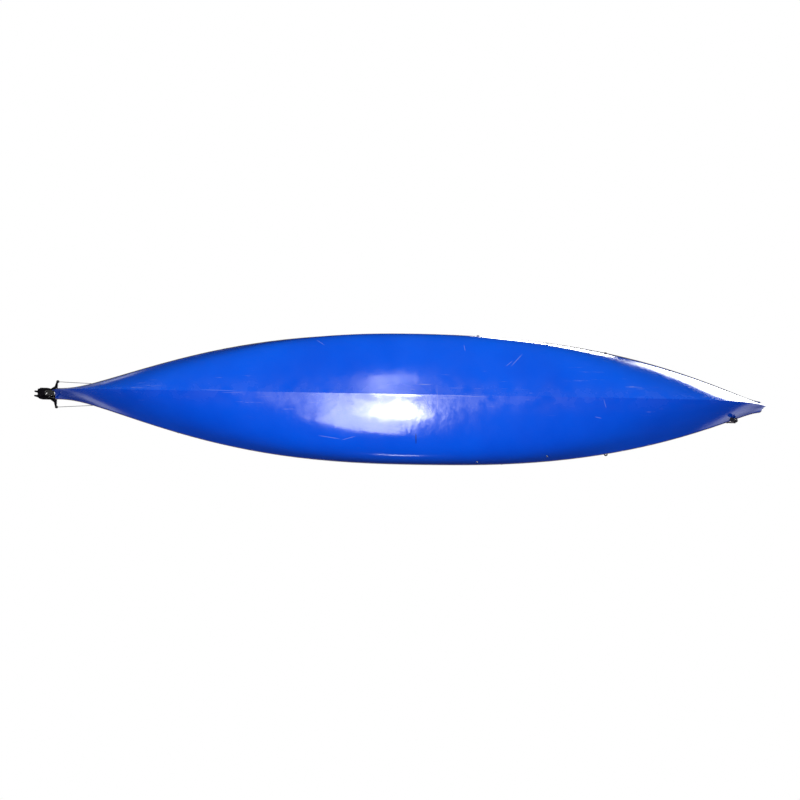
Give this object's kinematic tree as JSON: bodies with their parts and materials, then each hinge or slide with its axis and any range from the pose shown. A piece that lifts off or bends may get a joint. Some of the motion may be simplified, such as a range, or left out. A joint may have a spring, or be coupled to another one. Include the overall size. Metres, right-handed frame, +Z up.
{
  "type": "touring kayak",
  "caption": "Closed-deck touring kayak with a V-bottomed glossy hull, oval cockpit, two hatches, foot-steered flip-up stern rudder, adjustable foot pedals and carrying grips.",
  "frame": {"origin": "at keel level, under the middle of the overall length on the centreline", "axes": "+X towards the bow, +Y to port, +Z up"},
  "size_m": [4.012, 0.7082, 0.4419],
  "materials": {
    "hull_blue": "glossy royal-blue shell with fine scratches along the keel",
    "deck_blue": "glossy royal-blue shell",
    "seam_grey": "dark grey extruded seam band",
    "black_plastic": "fine-textured black moulding",
    "head_plastic": "glossy black moulding",
    "black_rubber": "matt black rubber",
    "bulkhead_foam": "grey closed-cell foam",
    "seat_plastic": "dark grey moulded plastic",
    "seat_fabric": "black woven fabric over foam",
    "pad_fabric": "charcoal fabric over foam",
    "stainless": "satin stainless steel",
    "bolt_steel": "stainless fasteners",
    "rail_aluminium": "anodised extrusion",
    "wire_steel": "pale grey stranded steel wire",
    "housing_plastic": "pale grey plastic tube",
    "blade_plastic": "black moulded blade",
    "webbing": "black woven webbing",
    "grip_rubber": "dark moulded grip"
  },
  "bodies": {
    "kayak": {"hull": "hull_blue", "deck": "deck_blue", "seam_band": "seam_grey", "cockpit_coaming": "black_plastic", "bow_hatch_rim": "black_plastic", "stern_hatch_rim": "black_plastic", "thigh_brace_left": "black_plastic", "thigh_brace_right": "black_plastic", "cable_fairlead_left": "black_plastic", "cable_fairlead_right": "black_plastic", "bow_eye": "black_plastic", "stern_eye": "black_plastic", "deck_padeyes": "black_plastic", "rudder_rest": "black_rubber", "front_bulkhead": "bulkhead_foam", "rear_bulkhead": "bulkhead_foam", "seat_pan": "seat_plastic", "seat_hanger_left": "seat_plastic", "seat_hanger_right": "seat_plastic", "seat_cushion": "seat_fabric", "thigh_pad_left": "pad_fabric", "thigh_pad_right": "pad_fabric", "stern_bracket": "stainless", "seat_bolts": "bolt_steel", "rail_bolts": "bolt_steel", "bracket_bolts": "bolt_steel", "backrest_pins": "bolt_steel", "padeye_screws": "bolt_steel", "foot_rail_left": "rail_aluminium", "foot_rail_right": "rail_aluminium", "steering_cable_left": "wire_steel", "steering_cable_right": "wire_steel", "cable_housing_left": "housing_plastic", "cable_housing_right": "housing_plastic"},
    "bow_cover": {"bow_hatch_cover": "black_rubber"},
    "stern_cover": {"stern_hatch_cover": "black_rubber"},
    "backrest": {"backrest_shell": "seat_plastic", "backrest_pad": "seat_fabric"},
    "rudder": {"rudder_pin": "stainless", "rudder_head": "head_plastic", "rudder_yoke": "head_plastic", "yoke_screws": "bolt_steel", "cable_pins": "bolt_steel", "blade_bolt": "bolt_steel"},
    "blade": {"rudder_blade": "blade_plastic"},
    "left_slider": {"foot_slider_left": "black_plastic"},
    "right_slider": {"foot_slider_right": "black_plastic"},
    "left_pedal": {"foot_pedal_left": "black_plastic"},
    "right_pedal": {"foot_pedal_right": "black_plastic"},
    "bow_toggle": {"bow_strap": "webbing", "bow_grip": "grip_rubber"},
    "stern_toggle": {"stern_strap": "webbing", "stern_grip": "grip_rubber"}
  },
  "joints": [
    {"name": "rudder_yaw", "type": "hinge", "parent": "kayak", "child": "rudder", "pos_m": [-1.925, 0, 0.3], "axis": [0, 0, 1], "range_deg": [-30, 30], "deforming": ["steering_cable_left", "steering_cable_right"]},
    {"name": "blade_lift", "type": "hinge", "parent": "rudder", "child": "blade", "pos_m": [-1.978, 0, 0.362], "axis": [0, -1, 0], "range_deg": [0, 255]},
    {"name": "left_foot_slide", "type": "slide", "parent": "kayak", "child": "left_slider", "axis": [0.9952, -0.0974, 0], "range_m": [-0.037, 0.037]},
    {"name": "right_foot_slide", "type": "slide", "parent": "kayak", "child": "right_slider", "axis": [0.9952, 0.0974, 0], "range_m": [-0.037, 0.037]},
    {"name": "left_pedal_adjust", "type": "slide", "parent": "left_slider", "child": "left_pedal", "axis": [0.9952, -0.0974, 0], "range_m": [-0.1, 0.1]},
    {"name": "right_pedal_adjust", "type": "slide", "parent": "right_slider", "child": "right_pedal", "axis": [0.9952, 0.0974, 0], "range_m": [-0.1, 0.1]},
    {"name": "backrest_tilt", "type": "hinge", "parent": "kayak", "child": "backrest", "pos_m": [-0.372, 0, 0.132], "axis": [0, 1, 0], "range_deg": [-10, 35]},
    {"name": "bow_cover_lift", "type": "slide", "parent": "kayak", "child": "bow_cover", "axis": [-0.0008, 0, 1], "range_m": [0, 0.15]},
    {"name": "stern_cover_lift", "type": "slide", "parent": "kayak", "child": "stern_cover", "axis": [-0.0107, 0, 0.9999], "range_m": [0, 0.15]},
    {"name": "bow_toggle_swing", "type": "hinge", "parent": "kayak", "child": "bow_toggle", "pos_m": [1.835, 0.088, 0.374], "axis": [1, 0, 0], "range_deg": [0, 130]},
    {"name": "stern_toggle_swing", "type": "hinge", "parent": "kayak", "child": "stern_toggle", "pos_m": [-1.33, 0, 0.32184], "axis": [0, -1, 0], "range_deg": [0, 160]}
  ],
  "couplings": [
    {"joint": "left_foot_slide", "follows": "rudder_yaw", "m_per_rad": -0.07},
    {"joint": "right_foot_slide", "follows": "rudder_yaw", "m_per_rad": 0.07}
  ]
}
